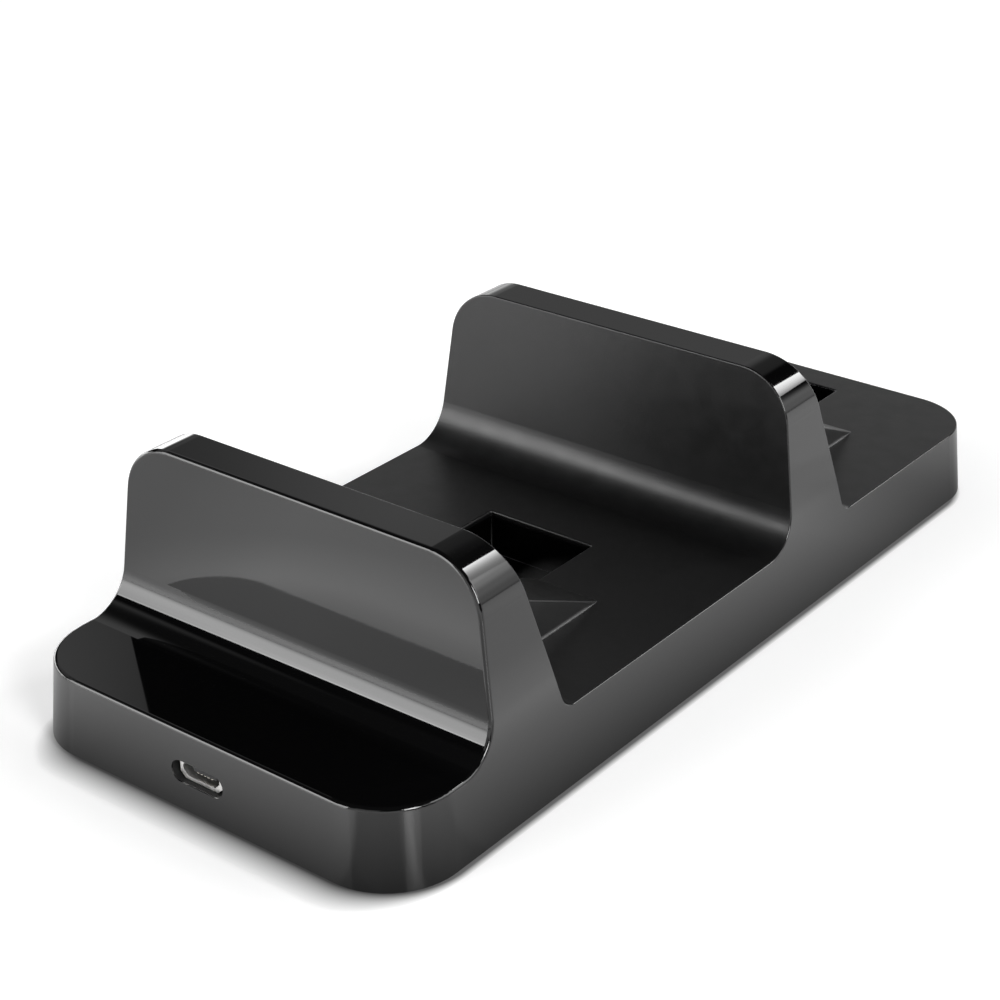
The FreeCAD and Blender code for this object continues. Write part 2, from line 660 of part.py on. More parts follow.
def housing():
    """One moulding: the outer form less its hollow, with wells, bosses and ribs left standing."""
    kept = []
    for n, (x, y) in enumerate(COVER_SCREWS, 1):
        kept.append(post(f"cover_boss_{n}", "boss_radius", "upright_top", x, y, BOSS_END))
    for n, (x, y) in enumerate(INLET_SCREWS + INLET_POSTS, 1):
        kept.append(post(f"inlet_boss_{n}", "board_boss_radius", "deck_height", x, y, INLET_BOARD_TOP))
    for n, (x, y) in enumerate(PLUG_SCREWS, 1):
        kept.append(post(f"plug_boss_{n}", "board_boss_radius", "upright_top", x, y, PLUG_BOARD_TOP))
    for bay, face in BAYS:
        middle = f"({face} + recess_reach - recess_length / 2)"
        width = "recess_width + 2 * well_wall"
        length = "recess_length + 2 * well_wall"
        kept.append(block(f"{bay}_well", width, length, "upright_top", "0", middle, WELL_BOTTOM))
        rib_length = "upright_depth + upright_slope * upright_top"
        rib_middle = f"({face} + ({rib_length}) / 2 - front_foot_radius / 2)"
        for side in ("-rib_side", "rib_side"):
            name = f"{bay}_rib_{'left' if side.startswith('-') else 'right'}"
            low = "(foot_height + deck_height - wall)"
            kept.append(block(name, "rib_thick", rib_length, "upright_top", side, rib_middle, low))
    holes = []
    for n, (x, y) in enumerate(COVER_SCREWS, 1):
        depth = "screw_length + screw_relief"
        holes.append(post(f"cover_pilot_{n}", "screw_radius + thread_gap", depth, x, y, COVER_TOP))
    for n, (x, y) in enumerate(INLET_SCREWS, 1):
        depth = "small_screw_length - inlet_board_thick + screw_relief"
        radius = "small_screw_radius + thread_gap"
        holes.append(post(f"inlet_pilot_{n}", radius, depth, x, y, INLET_BOARD_TOP))
    for n, (x, y) in enumerate(PLUG_SCREWS, 1):
        depth = "small_screw_length - plug_board_thick + screw_relief"
        radius = "small_screw_radius + thread_gap"
        holes.append(post(f"plug_pilot_{n}", radius, depth, x, y, PLUG_BOARD_TOP))
    cavity = without("cavity", hollow(), kept)
    return without("top_housing", outer_form(), [cavity] + holes)


# Base


def bottom_cover():
    body = new_body("bottom_cover", COVER_BOTTOM)
    plan = new_sketch(body, "cover_plan", "XY_Plane")
    inset = "2 * (rim + fit_gap)"
    radius = "body_corner - rim - fit_gap"
    rounded_rectangle(plan, "0", "0", f"body_width - {inset}", f"{LENGTH} - {inset}", radius)
    raised(body, "cover_plate", plan, "cover_thickness")
    collars = new_sketch(body, "collar_plan", "XY_Plane")
    for x, y in COVER_SCREWS:
        circle(collars, x, y, "collar_radius")
    raised(body, "collars", collars, "cover_thickness + collar_height")
    bores = new_sketch(body, "bore_plan", "XY_Plane")
    for x, y in COVER_SCREWS:
        circle(bores, x, y, "screw_radius + head_gap")
    cut(body, "screw_bores", bores, "cover_thickness + collar_height", back=True)
    sinks = new_sketch(body, "sink_plan", "XY_Plane")
    for x, y in COVER_SCREWS:
        circle(sinks, x, y, "screw_head_radius + head_gap")
    cut(body, "screw_sinks", sinks, "cover_thickness", back=True)
    seats = new_sketch(body, "foot_seat_plan", "XY_Plane")
    for x, y in FEET.values():
        circle(seats, x, y, "foot_radius + fit_gap")
    cut(body, "foot_seats", seats, "foot_seat", back=True)
    return body


FEET = {
    "front_left": (f"-{FOOT_SIDE}", f"{FRONT_END} + foot_end"),
    "front_right": (FOOT_SIDE, f"{FRONT_END} + foot_end"),
    "rear_left": (f"-{FOOT_SIDE}", f"{REAR_END} - foot_end"),
    "rear_right": (FOOT_SIDE, f"{REAR_END} - foot_end"),
}


def rubber_foot(place, x, y):
    body = new_body(f"rubber_foot_{place}", "0")
    body.setExpression("Placement.Base.x", bind(x))
    body.setExpression("Placement.Base.y", bind(y))
    profile = new_sketch(body, f"foot_profile_{place}", "XZ_Plane")
    top = "foot_height + cover_recess + foot_seat"
    corners = [
        ("0", "0"),
        ("foot_radius - foot_chamfer", "0"),
        ("foot_radius", "foot_chamfer"),
        ("foot_radius", top),
        ("0", top),
    ]
    outline(profile, corners)
    turned = body.newObject("PartDesign::Revolution", f"foot_{place}")
    turned.Profile = profile
    turned.ReferenceAxis = (profile, ["V_Axis"])
    turned.Angle = 360
    return body


HEAD_TAPER = 0.85
CROSS_LENGTH, CROSS_WIDTH, CROSS_DEPTH = 1.1, 0.22, 0.5


def screw(radius, length, head_radius, head_height):
    """A screw with its head down and a cross recess, seated at its own origin.

    The head's outer radius and the three sides of the recess are shares of the head."""
    shank = Part.makeCylinder(radius, length)
    head = Part.makeCone(head_radius * HEAD_TAPER, head_radius, head_height, Vector(0, 0, -head_height))
    solid = shank.fuse(head)
    long, thin, deep = head_radius * CROSS_LENGTH, head_radius * CROSS_WIDTH, head_height * CROSS_DEPTH
    for across, along in ((long, thin), (thin, long)):
        corner = Vector(-across / 2, -along / 2, -head_height)
        solid = solid.cut(Part.makeBox(across, along, deep, corner))
    return solid


def screws(name, form, places):
    copies = []
    for x, y, seat in places:
        copy = form.copy()
        copy.translate(Vector(value(x), value(y), value(seat)))
        copies.append(copy)
    return group(name, copies)


def cover_screws():
    sizes = ("screw_radius", "screw_length", "screw_head_radius", "screw_head_height")
    form = screw(*[value(text) for text in sizes])
    return screws("cover_screws", form, [(x, y, COVER_TOP) for x, y in COVER_SCREWS])


def board_screws():
    sizes = ("small_screw_radius", "small_screw_length", "small_head_radius", "small_head_height")
    form = screw(*[value(text) for text in sizes])
    places = [(x, y, INLET_BOARD_BOTTOM) for x, y in INLET_SCREWS]
    places += [(x, y, PLUG_BOARD_BOTTOM) for x, y in PLUG_SCREWS]
    return screws("board_screws", form, places)


# Boards


def board(name, width, length, thick, y, bottom, screw_places):
    plate = block(f"{name}_plate", width, length, thick, "0", y, bottom)
    bores = []
    for n, (x, place) in enumerate(screw_places, 1):
        bores.append(post(f"{name}_bore_{n}", "small_screw_radius + thread_gap", thick, x, place, bottom))
    return without(name, plate, bores)


def boards():
    middle = f"({FRONT_END} + inlet_board_place + inlet_board_length / 2)"
    width, length, thick = f"2 * {INLET_BOARD_SIDE}", "inlet_board_length", "inlet_board_thick"
    nodes = [board("inlet_board", width, length, thick, middle, INLET_BOARD_BOTTOM, INLET_SCREWS)]
    for bay, face in BAYS:
        sizes = (f"2 * {PLUG_BOARD_SIDE}", "plug_board_length", "plug_board_thick")
        middle = f"({face} + plug_reach)"
        nodes.append(board(f"{bay}_plug_board", *sizes, middle, PLUG_BOARD_BOTTOM, plug_screws(face)))
    return nodes


# Inlet


def socket_view(sketch, grow):
    """The socket's mouth: flat on top, with wider bevels at its lower corners."""
    half = f"(inlet_width / 2 + {grow})"
    low = f"(socket_height / 2 + {grow})"
    corners = [
        (f"socket_corner - {half}", low),
        (f"-{half}", f"{low} - socket_corner"),
        (f"-{half}", f"socket_bevel - {low}"),
        (f"socket_bevel - {half}", f"-{low}"),
        (f"{half} - socket_bevel", f"-{low}"),
        (half, f"socket_bevel - {low}"),
        (half, f"{low} - socket_corner"),
        (f"{half} - socket_corner", low),
    ]
    outline(sketch, corners)


def inlet_body(label):
    body = new_body(label, INLET_MIDDLE)
    body.setExpression("Placement.Base.y", bind(INLET_FACE))
    return body


def inlet_shell():
    body = inlet_body("inlet_shell")
    view = new_sketch(body, "shell_view", "XZ_Plane")
    socket_view(view, "0")
    raised(body, "shell_tube", view, "inlet_depth", back=True)
    lip = new_sketch(body, "lip_view", "XZ_Plane")
    socket_view(lip, "socket_lip")
    raised(body, "shell_lip", lip, "lip_length", back=True)
    mouth = new_sketch(body, "mouth_view", "XZ_Plane")
    socket_view(mouth, "(-socket_skin)")
    cut(body, "shell_mouth", mouth, "inlet_depth")
    return body


def contact_strips(name, places, size, at):
    """Five flat contacts side by side, as separate solids."""
    width, depth, height = (value(text) for text in size)
    strips = []
    for x in places:
        corner = Vector(x - width / 2, value(at[0]) - depth / 2, value(at[1]))
        strips.append(Part.makeBox(width, depth, height, corner))
    return group(name, strips)


CONTACT_PLACES = [step * value("contact_pitch") for step in (-2, -1, 0, 1, 2)]


def inlet_inside():
    start = f"({INLET_FACE} + inlet_depth - block_length - tongue_length)"
    run = "(tongue_length + block_length)"
    under = f"({INLET_MIDDLE} - tongue_height / 2 - contact_thick)"
    size = ("contact_width", run, "contact_thick")
    contacts = contact_strips("inlet_contacts", CONTACT_PLACES, size, (f"{start} + {run} / 2", under))
    body = inlet_body("inlet_insulator_form")
    view = new_sketch(body, "block_view", "XZ_Plane", "block_length - inlet_depth")
    socket_view(view, "(-socket_skin)")
    raised(body, "insulator_block", view, "block_length", back=True)
    tongue = new_sketch(body, "tongue_view", "XZ_Plane", "block_length + tongue_length - inlet_depth")
    rounded_rectangle(tongue, "0", "0", "tongue_width", "tongue_height", "tongue_height / 6")
    raised(body, "insulator_tongue", tongue, "tongue_length + block_length / 2", back=True)
    return [contacts, without("inlet_insulator", body, [contacts])]


# Charging plugs


def plug_view(sketch, y, shrink):
    """A plug's tip seen from above, bevelled at its rear corners."""
    half = f"(plug_width / 2 - {shrink})"
    deep = f"(plug_depth / 2 - {shrink})"
    corners = [
        (f"-{half}", f"{y} - {deep}"),
        (half, f"{y} - {deep}"),
        (half, f"{y} + {deep} - plug_bevel"),
        (f"{half} - plug_bevel", f"{y} + {deep}"),
        (f"plug_bevel - {half}", f"{y} + {deep}"),
        (f"-{half}", f"{y} + {deep} - plug_bevel"),
    ]
    outline(sketch, corners)


def plug(bay, face):
    y = f"({face} + plug_reach)"
    sink = "(plug_body_top - plug_sink)"
    shell = new_body(f"{bay}_plug_shell")
    view = new_sketch(shell, f"{bay}_tip_view", "XY_Plane", sink)
    plug_view(view, y, "0")
    raised(shell, f"{bay}_tip", view, f"plug_top - {sink}")
    bore = new_sketch(shell, f"{bay}_tip_bore_view", "XY_Plane", sink)
    plug_view(bore, y, "plug_skin")
    cut(shell, f"{bay}_tip_bore", bore, f"plug_top - {sink}", back=True)

    filler = new_body(f"{bay}_insulator_form")
    view = new_sketch(filler, f"{bay}_filler_view", "XY_Plane", sink)
    plug_view(view, y, "plug_skin")
    raised(filler, f"{bay}_filler", view, f"plug_top - plug_inset - {sink}")
    mouth = new_sketch(filler, f"{bay}_mouth_view", "XY_Plane", "plug_top")
    rounded_rectangle(mouth, "0", y, "plug_mouth_width", "plug_mouth_depth", "plug_mouth_depth / 6")
    cut(filler, f"{bay}_mouth", mouth, "plug_inset + plug_mouth")

    size = ("contact_width", "contact_thick", f"{PLUG_TIP} - 2 * plug_inset - {PLUG_BOARD_TOP}")
    at = (f"{y} + plug_mouth_depth / 2 + contact_thick / 2", PLUG_BOARD_TOP)
    contacts = contact_strips(f"{bay}_plug_contacts", CONTACT_PLACES, size, at)
    insulator = without(f"{bay}_plug_insulator", filler, [contacts])

    form = new_body(f"{bay}_plug_body_form", PLUG_BOARD_TOP)
    base = new_sketch(form, f"{bay}_body_view", "XY_Plane")
    rounded_rectangle(base, "0", y, "plug_body_width", "plug_body_depth", "plug_body_round")
    raised(form, f"{bay}_body", base, f"plug_body_top + foot_height - {PLUG_BOARD_TOP}")
    seat = new_sketch(form, f"{bay}_tip_seat_view", "XY_Plane", f"foot_height + {sink} - {PLUG_BOARD_TOP}")
    plug_view(seat, y, "0")
    cut(form, f"{bay}_tip_seat", seat, "plug_sink", back=True)
    carrier = without(f"{bay}_plug_body", form, [contacts])
    return [shell, insulator, contacts, carrier]


# Electronics on the inlet board


def charge_controller():
    """Small chip with four bent legs on each side."""
    y, seat = value(f"{FRONT_END} + chip_place"), value(INLET_BOARD_TOP)
    width, length, height = value("chip_width"), value("chip_length"), value("chip_height")
    top = seat + value("chip_lift") + height
    corner = Vector(-width / 2, y - length / 2, top - height)
    chip = Part.makeBox(width, length, height, corner)
    rim = [edge for edge in chip.Edges if edge.CenterOfMass.z > top - height / 4]
    chip = chip.makeChamfer(value("chip_bevel"), rim)
    leg, thick, reach = value("leg_width"), value("leg_thick"), value("leg_reach")
    level = seat + height / 2
    legs = []
    for step in (-1.5, -0.5, 0.5, 1.5):
        left = step * value("leg_pitch") - leg / 2
        for side in (-1, 1):
            inner = y + side * (length / 2 - thick)
            shoulder = y + side * (length / 2 + reach / 3)
            outer = y + side * (length / 2 + reach)
            runs = [
                (inner, shoulder, level, thick),
                (shoulder - side * thick, shoulder, seat, level - seat + thick),
                (shoulder - side * thick, outer, seat, thick),
            ]
            for first, last, bottom, tall in runs:
                corner = Vector(left, min(first, last), bottom)
                legs.append(Part.makeBox(leg, abs(last - first), tall, corner))
    node = doc.addObject("Part::Feature", "charge_controller")
    node.Shape = chip.fuse(legs).removeSplitter()
    node.Label = "charge_controller"
    return node


def input_capacitor():
    """Round can on a square plastic base."""
    y = f"({FRONT_END} + capacitor_place)"
    x = f"({INLET_BOARD_SIDE} - capacitor_margin)"
    side, tall = "capacitor_base", "capacitor_base_height"
    base = block("capacitor_foot", side, side, tall, x, y, INLET_BOARD_TOP)
    can = post("capacitor_can", "capacitor_radius", "capacitor_height", x, y, INLET_BOARD_TOP)
    node = joined("input_capacitor", [base, can])
    node.Label = "input_capacitor"
    return node


def resettable_fuse():
    """Flat block between two metal end caps."""
    y = f"({FRONT_END} + fuse_place)"
    middle = f"(fuse_margin - {INLET_BOARD_SIDE})"
    pieces = [block("fuse_middle", "fuse_length", "fuse_width", "fuse_height", middle, y, INLET_BOARD_TOP)]
    size = ("fuse_cap", "fuse_width + fuse_step", "fuse_height + fuse_step")
    for end, sign in (("inner", "+"), ("outer", "-")):
        x = f"({middle} {sign} (fuse_length + fuse_cap) / 2)"
        pieces.append(block(f"fuse_{end}_cap", *size, x, y, INLET_BOARD_TOP))
    node = joined("resettable_fuse", pieces)
    node.Label = "resettable_fuse"
    return node


def chip_resistors():
    length, width, height = value("resistor_length"), value("resistor_width"), value("resistor_height")
    row = value(f"{FRONT_END} + resistor_place")
    chips = []
    for step in (-1.5, -0.5, 0.5, 1.5):
        x = step * value("resistor_pitch")
        corner = Vector(x - length / 2, row - width / 2, value(INLET_BOARD_TOP))
        chips.append(Part.makeBox(length, width, height, corner))
    return group("chip_resistors", chips)


# Leads


BEND_SHARE = 0.45


def lead(name, points):
    """An insulated lead: straight runs joined by arcs as large as the runs allow."""
    corners = [Vector(*[value(part) for part in point]) for point in points]
    edges = []
    start = corners[0]
    for before, corner, after in zip(corners, corners[1:], corners[2:]):
        back = (before - corner).normalize()
        ahead = (after - corner).normalize()
        shorter = min((before - corner).Length, (after - corner).Length)
        step = BEND_SHARE * shorter
        first, last = corner + back * step, corner + ahead * step
        half = back.getAngle(ahead) / 2
        towards = (back + ahead).normalize()
        middle = corner + towards * (step / math.cos(half) - step * math.tan(half))
        edges.append(Part.LineSegment(start, first).toShape())
        edges.append(Part.Arc(first, middle, last).toShape())
        start = last
    edges.append(Part.LineSegment(start, corners[-1]).toShape())
    path = Part.Wire(edges)
    ring = Part.Wire(Part.makeCircle(value("lead_radius"), corners[0], corners[1] - corners[0]))
    tube = path.makePipeShell([ring], True, False)
    node = doc.addObject("Part::Feature", name)
    node.Shape = tube
    node.Label = name
    section = math.pi * value("lead_radius") ** 2
    print(name, "volume over section times length", round(tube.Volume / (section * path.Length), 4))
    return node


def leads():
    """A pair from the inlet board to each plug board. The rear pair runs along the cover."""
    pad = f"({FRONT_END} + pad_place)"
    over = f"({INLET_BOARD_TOP} + lead_rise)"
    landing = f"({PLUG_BOARD_TOP} + lead_rise)"
    run = f"({COVER_TOP} + lead_radius + lead_lift)"
    near_pad, far_pad = [f"({face} + plug_reach - landing_inset)" for bay, face in BAYS]
    nodes = []
    for number, pole in enumerate(("positive", "negative")):
        start = f"(pad_side + {number} * pad_pitch)"
        end = f"({WELL_SIDE} + landing_side + {number} * landing_pitch)"
        aside = f"({PLUG_BOARD_SIDE} + run_side + {number} * run_pitch)"
        near_points = [
            (start, pad, INLET_BOARD_TOP),
            (start, pad, over),
            (end, near_pad, landing),
            (end, near_pad, PLUG_BOARD_TOP),
        ]
        far_points = [
            (f"-{start}", pad, INLET_BOARD_TOP),
            (f"-{start}", pad, over),
            (f"-{aside}", f"{pad} + run_start", run),
            (f"-{aside}", f"{far_pad} - run_end", run),
            (f"-{end}", far_pad, landing),
            (f"-{end}", far_pad, PLUG_BOARD_TOP),
        ]
        nodes.append(lead(f"front_lead_{pole}", near_points))
        nodes.append(lead(f"rear_lead_{pole}", far_points))
    return nodes


# Everything, checked and written

nodes = [housing(), bottom_cover()]
nodes += [rubber_foot(place, x, y) for place, (x, y) in FEET.items()]
nodes += [cover_screws(), board_screws()]
nodes += boards()
nodes += [inlet_shell()] + inlet_inside()
for bay, face in BAYS:
    nodes += plug(bay, face)
nodes += [charge_controller(), input_capacitor(), resettable_fuse(), chip_resistors()]
nodes += leads()
doc.recompute()

faults = [item.Label for item in doc.Objects if {"Invalid", "Error"} & set(item.State)]
faults += [node.Label for node in nodes if node.Shape.isNull() or not node.Shape.isValid()]
if faults:
    raise RuntimeError(f"failed: {faults}")

os.makedirs("parts", exist_ok=True)
for node in nodes:
    shape = node.Shape
    shape.exportStep(f"parts/{node.Label}.step")
    box = shape.BoundBox
    print(f"{node.Label}: {len(shape.Solids)} solid, {shape.Volume:.1f} mm3,", end=" ")
    print(f"z {box.ZMin:.2f} to {box.ZMax:.2f}")
print(len(nodes), "nodes")
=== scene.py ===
import math

import bpy
from mathutils import Matrix, Vector


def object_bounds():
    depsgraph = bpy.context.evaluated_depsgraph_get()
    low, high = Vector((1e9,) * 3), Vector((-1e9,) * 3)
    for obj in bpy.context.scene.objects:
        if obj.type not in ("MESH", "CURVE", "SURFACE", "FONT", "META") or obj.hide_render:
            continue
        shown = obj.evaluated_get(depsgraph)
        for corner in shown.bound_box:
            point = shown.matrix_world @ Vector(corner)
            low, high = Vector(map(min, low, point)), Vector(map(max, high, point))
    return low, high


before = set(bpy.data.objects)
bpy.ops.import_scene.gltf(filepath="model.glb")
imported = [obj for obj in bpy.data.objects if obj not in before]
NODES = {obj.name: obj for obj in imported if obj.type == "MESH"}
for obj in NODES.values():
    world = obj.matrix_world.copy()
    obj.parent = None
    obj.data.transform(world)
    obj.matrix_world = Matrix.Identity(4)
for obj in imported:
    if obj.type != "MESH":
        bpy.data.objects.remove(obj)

# Looks of the charging dock: two finishes of black plastic, rubber feet, plated metal and
# circuit boards, on a white table under three soft lamps, in a dark room with pale patches.
# Metres. +Z is up, +X is the right-hand side, -Y is the end with the power inlet.

MM = 0.001
CAD_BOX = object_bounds()
HALF_WIDTH, HALF_LENGTH, TOP = CAD_BOX[1]


# Node building. A range for spread() says where a change begins and ends, and then the values
# there if they aren't 0 and 1. A range for varied() is only the two values.

WINDOW_FADE = math.radians(4)
NOISE_RANGE = (0.3, 0.7)
EDGE_SAMPLES = 4
EDGE_TURN = (0.97, 0.8)


def new_material(name):
    material = bpy.data.materials.new(name)
    material.use_nodes = True
    return material, material.node_tree, material.node_tree.nodes["Principled BSDF"]


def put(tree, kind, **settings):
    node = tree.nodes.new(kind)
    for name, setting in settings.items():
        setattr(node, name, setting)
    return node


def feed(tree, socket, source):
    """Join a socket to another node's output, or set it to a plain value."""
    if isinstance(source, bpy.types.NodeSocket):
        tree.links.new(source, socket)
    else:
        socket.default_value = source


def sums(tree, operation, *sources):
    node = put(tree, "ShaderNodeMath", operation=operation)
    for socket, source in zip(node.inputs, sources):
        feed(tree, socket, source)
    return node.outputs[0]


def joined(tree, operation, first, *others):
    """One operation over any number of values, such as their product or the highest of them."""
    for other in others:
        first = sums(tree, operation, first, other)
    return first


def spread(tree, source, low, high, first=0.0, last=1.0, smooth=False):
    """Map a range of one value onto another range."""
    node = put(tree, "ShaderNodeMapRange")
    if smooth:
        node.interpolation_type = "SMOOTHSTEP"
    for socket, setting in zip(node.inputs, (source, low, high, first, last)):
        feed(tree, socket, setting)
    return node.outputs[0]


def less(tree, share, depth):
    """1 where the share is 0, and lower by the depth where it is 1."""
    return spread(tree, share, 0.0, 1.0, 1.0, 1.0 - depth)


def window(tree, source, low, high):
    """1 between two angles in degrees, 0 outside, with soft edges."""
    low, high = math.radians(low), math.radians(high)
    up = spread(tree, source, low - WINDOW_FADE, low + WINDOW_FADE, 0.0, 1.0, smooth=True)
    down = spread(tree, source, high - WINDOW_FADE, high + WINDOW_FADE, 1.0, 0.0, smooth=True)
    return sums(tree, "MULTIPLY", up, down)


def blended(tree, share, first, last):
    node = put(tree, "ShaderNodeMix")
    feed(tree, node.inputs["Factor"], share)
    feed(tree, node.inputs[2], first)
    feed(tree, node.inputs[3], last)
    return node.outputs[0]


def blended_colour(tree, share, first, last):
    node = put(tree, "ShaderNodeMix", data_type="RGBA")
    feed(tree, node.inputs["Factor"], share)
    feed(tree, node.inputs[6], first)
    feed(tree, node.inputs[7], last)
    return node.outputs[2]


def axes(tree, source):
    """The X, Y and Z of a vector."""
    node = put(tree, "ShaderNodeSeparateXYZ")
    feed(tree, node.inputs[0], source)
    return node.outputs[0], node.outputs[1], node.outputs[2]


def place(tree):
    """Where a point of the surface is, in metres in the object's own frame."""
    return put(tree, "ShaderNodeTexCoord").outputs["Object"]


def facing(tree):
    """Which way the surface faces, without any bump."""
    return put(tree, "ShaderNodeNewGeometry").outputs["Normal"]


def noise(tree, size, detail=2.0, roughness=0.5, stretch=None):
    """Soft noise from 0 to 1 whose features are about as large as size, in metres."""
    where = place(tree)
    if stretch:
        mapping = put(tree, "ShaderNodeMapping")
        feed(tree, mapping.inputs["Vector"], where)
        mapping.inputs["Scale"].default_value = stretch
        where = mapping.outputs[0]
    node = put(tree, "ShaderNodeTexNoise")
    feed(tree, node.inputs["Vector"], where)
    node.inputs["Scale"].default_value = 1 / size
    node.inputs["Detail"].default_value = detail
    node.inputs["Roughness"].default_value = roughness
    return node.outputs[0]


def varied(tree, size, first, last, detail=3.0):
    """A value that drifts between two others in soft patches."""
    return spread(tree, noise(tree, size, detail), *NOISE_RANGE, first, last)


def bump(tree, height, depth, below=None):
    """A relief whose height runs from 0 to depth, in metres."""
    node = put(tree, "ShaderNodeBump")
    node.inputs["Strength"].default_value = 1.0
    node.inputs["Distance"].default_value = depth
    feed(tree, node.inputs["Height"], height)
    if below is not None:
        feed(tree, node.inputs["Normal"], below)
    return node.outputs[0]


def edge_share(tree, radius):
    """1 on edges and corners, from how far a rounded-off normal turns from the true one."""
    soft = put(tree, "ShaderNodeBevel", samples=EDGE_SAMPLES)
    soft.inputs["Radius"].default_value = radius
    turn = put(tree, "ShaderNodeVectorMath", operation="DOT_PRODUCT")
    feed(tree, turn.inputs[0], soft.outputs[0])
    feed(tree, turn.inputs[1], facing(tree))
    return spread(tree, turn.outputs["Value"], *EDGE_TURN)


# Regions of the housing: lengths from the dock's middle, and heights above the table

DECK = 13.1 * MM
SIDE_SLOPE = 0.073  # how far the base's faces lean in for each unit of height
UPRIGHT_BACK = -51.14 * MM  # at the front upright's top
UPRIGHT_SLOPE = 0.28
RAMP_HALF = 21.3 * MM
POCKET_HALF = 6.5 * MM
POCKET_TOP = 11 * MM
POCKET_END = -HALF_LENGTH + 12 * MM
SIDE_START = 25 * MM
CROWN_START = 30 * MM
REAR_START = HALF_LENGTH - 12 * MM
FRONT_FADE = (-0.6 * MM, -0.1 * MM, 1.0, 0.0)  # from the front upright's back
RECESS_FADE = (DECK - 1.2 * MM, DECK - 0.4 * MM, 1.0, 0.0)
POCKET_FADE = (0.06 * MM, 0.2 * MM)  # from the front face
FACING_SIDEWAYS = (0.35, 0.6)
NOT_FACING_ALONG = (0.35, 0.75, 1.0, 0.0)
NOT_FACING_UP = (0.5, 0.8, 1.0, 0.0)


def gloss_share(tree):
    """1 where the mould is polished: the outside, the front deck and the tops. 0 elsewhere."""
    x, y, z = axes(tree, place(tree))
    nx, ny, nz = axes(tree, facing(tree))
    x, nx, ny = (sums(tree, "ABSOLUTE", part) for part in (x, nx, ny))
    below_top = sums(tree, "SUBTRACT", TOP, z)
    back = sums(tree, "MULTIPLY_ADD", below_top, UPRIGHT_SLOPE, UPRIGHT_BACK)
    front = spread(tree, sums(tree, "SUBTRACT", y, back), *FRONT_FADE)
    far_out = sums(tree, "GREATER_THAN", x, SIDE_START)
    outside = sums(tree, "MULTIPLY", far_out, spread(tree, nx, *FACING_SIDEWAYS))
    high = sums(tree, "GREATER_THAN", z, CROWN_START)
    crown = sums(tree, "MULTIPLY", high, spread(tree, ny, *NOT_FACING_ALONG))
    rear = sums(tree, "GREATER_THAN", y, REAR_START)
    end = sums(tree, "MULTIPLY", rear, spread(tree, nz, *NOT_FACING_UP))
    return joined(tree, "MAXIMUM", front, outside, crown, end)


def recess_share(tree):
    """1 on the walls and the floor of a plug recess, below the deck."""
    x, y, z = axes(tree, place(tree))
    within = sums(tree, "LESS_THAN", sums(tree, "ABSOLUTE", x), RAMP_HALF)
    behind_inlet = sums(tree, "GREATER_THAN", y, POCKET_END)
    return joined(tree, "MULTIPLY", within, behind_inlet, spread(tree, z, *RECESS_FADE))


def pocket_share(tree):
    """1 inside the pocket of the power inlet, behind the sloped front face."""
    x, y, z = axes(tree, place(tree))
    within = sums(tree, "LESS_THAN", sums(tree, "ABSOLUTE", x), POCKET_HALF)
    ahead = sums(tree, "LESS_THAN", y, POCKET_END)
    low = sums(tree, "LESS_THAN", z, POCKET_TOP)
    front_face = sums(tree, "MULTIPLY_ADD", z, SIDE_SLOPE, -HALF_LENGTH)
    behind = spread(tree, sums(tree, "SUBTRACT", y, front_face), *POCKET_FADE)
    return joined(tree, "MULTIPLY", within, ahead, low, behind)


# Materials. GRAIN is a noise's detail and its roughness.

PLASTIC_IOR = 1.5
BLACK = (0.0016, 0.0016, 0.0017, 1)
SATIN_BLACK = (0.0020, 0.0020, 0.0021, 1)
# Painted shade: the recesses and the inlet pocket are the same plastic, coloured darker where shade
# falls.
RECESS_SHADE_BLACK = (0.0003, 0.0003, 0.0003, 1)
# Edge colour: partly wear, partly a painted sheen standing in for the highlights on rounded edges.
WORN_AND_SHEEN = (0.085, 0.085, 0.088, 1)
WEAR_AND_SHEEN_REACH = 0.35 * MM
WEAR_AND_SHEEN_BREAKS = 2.5 * MM
WEAR_AND_SHEEN_BROKEN = (0.25, 0.6, 0.5, 1.0)
POLISHED_WEAR_AND_SHEEN = (0.0, 1.0, 1.0, 0.05)
SMEARS = 14 * MM
POLISHED_ROUGH = (0.3, 0.75, 0.035, 0.06)
SATIN_PATCHES = 3 * MM
SATIN_ROUGH = (0.36, 0.42)
RECESS_ROUGH = 0.2
POCKET_ROUGH = 0.8
GRAIN = (2.0, 0.6)
SATIN_GRAIN = 0.22 * MM
SATIN_DEPTH = 0.012 * MM
WAVES = 9 * MM
WAVE_DEPTH = 0.004 * MM


def wear_and_sheen_share(tree, outside):
    """How much an edge is lightened, partly by wear and partly by a painted sheen standing in for
    its highlight, in broken lines: clearly in the textured bays, faintly elsewhere.
    """
    faint = spread(tree, outside, *POLISHED_WEAR_AND_SHEEN)
    broken = spread(tree, noise(tree, WEAR_AND_SHEEN_BREAKS), *WEAR_AND_SHEEN_BROKEN)
    return joined(tree, "MULTIPLY", edge_share(tree, WEAR_AND_SHEEN_REACH), faint, broken)


